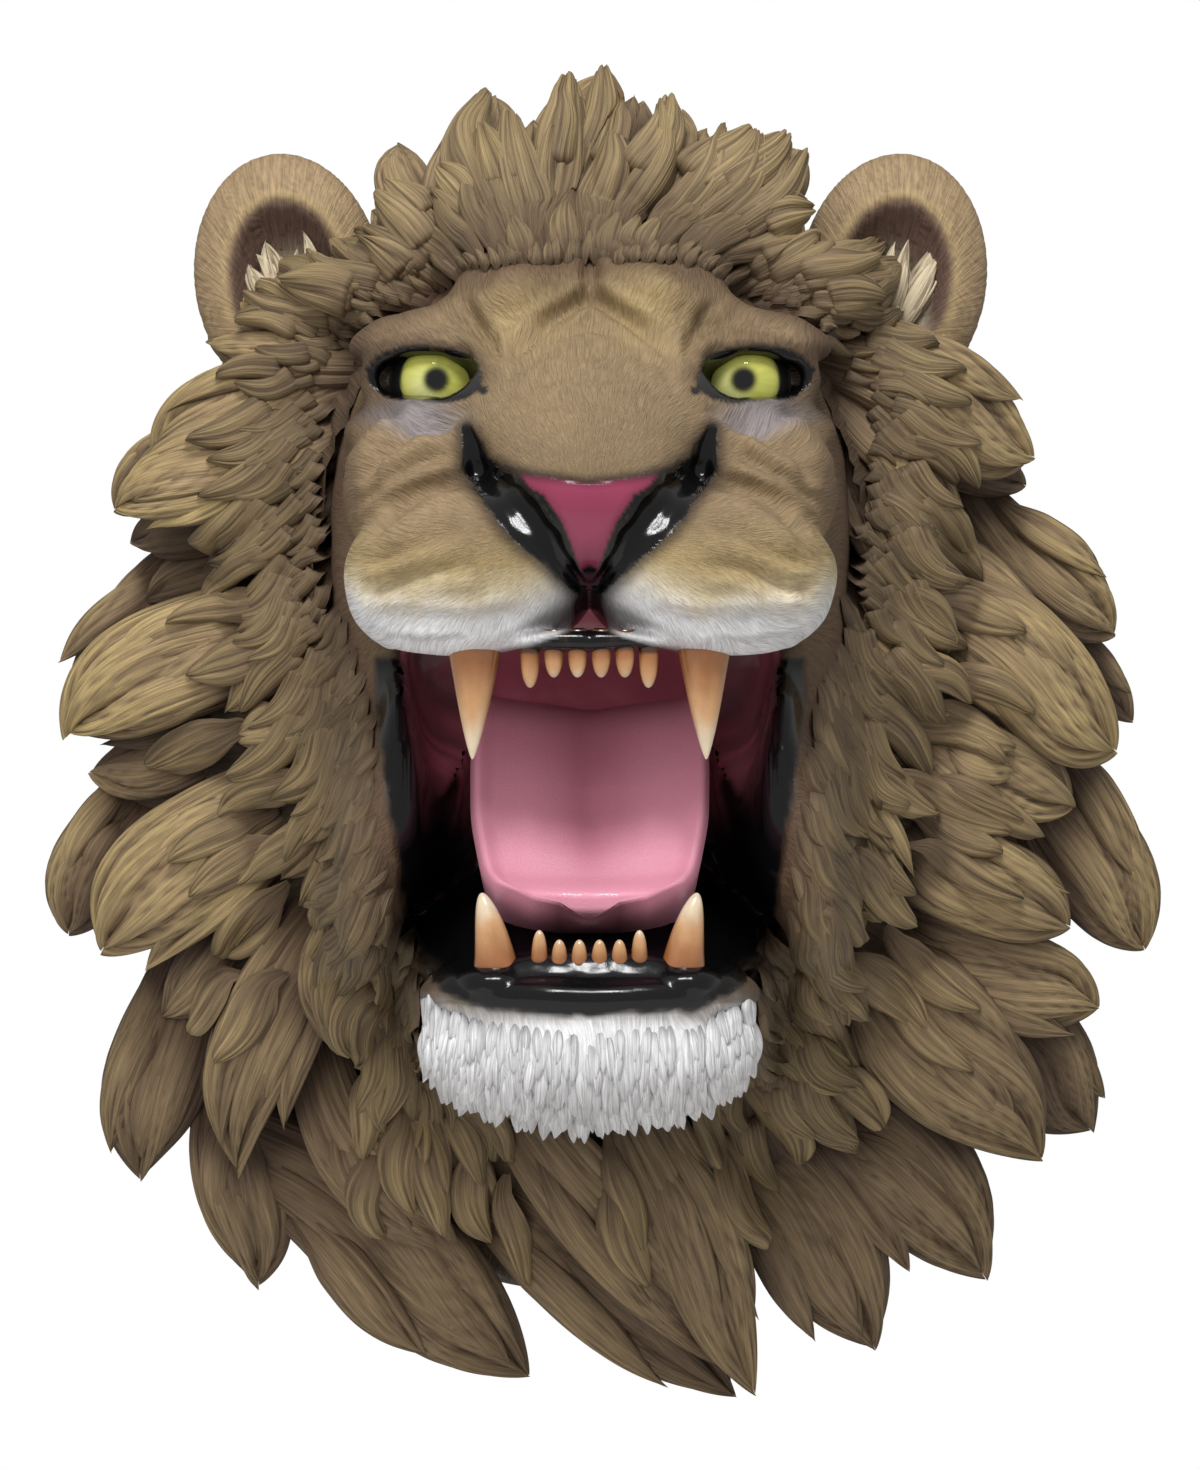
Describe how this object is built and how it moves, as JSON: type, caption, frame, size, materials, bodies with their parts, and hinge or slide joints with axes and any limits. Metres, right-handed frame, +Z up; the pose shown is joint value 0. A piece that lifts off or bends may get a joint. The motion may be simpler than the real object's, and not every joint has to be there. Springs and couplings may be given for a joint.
{
  "type": "lion head wall mask",
  "caption": "Roaring lion's head with a full mane and open, toothed jaws, cast with a flat back to hang on a wall.",
  "frame": {"origin": "middle of the flat back, on the wall's face", "axes": "+Z up, +Y into the wall so that the lion looks along -Y, +X to the viewer's right"},
  "size_m": [0.7441, 0.4367, 0.8882],
  "materials": {
    "coat": "hand-painted matte resin, gloss black at the lips and nostrils",
    "eye": "clear gloss over a yellow-green iris and a black pupil",
    "tongue": "satin pink",
    "tooth": "gloss, amber at the gum and ivory at the tip"
  },
  "bodies": {
    "root": {"lion_head": "coat", "left_eye": "eye", "right_eye": "eye", "tongue": "tongue", "upper_left_canine": "tooth", "upper_right_canine": "tooth", "lower_left_canine": "tooth", "lower_right_canine": "tooth", "upper_incisors": "tooth", "lower_incisors": "tooth"}
  },
  "joints": []
}
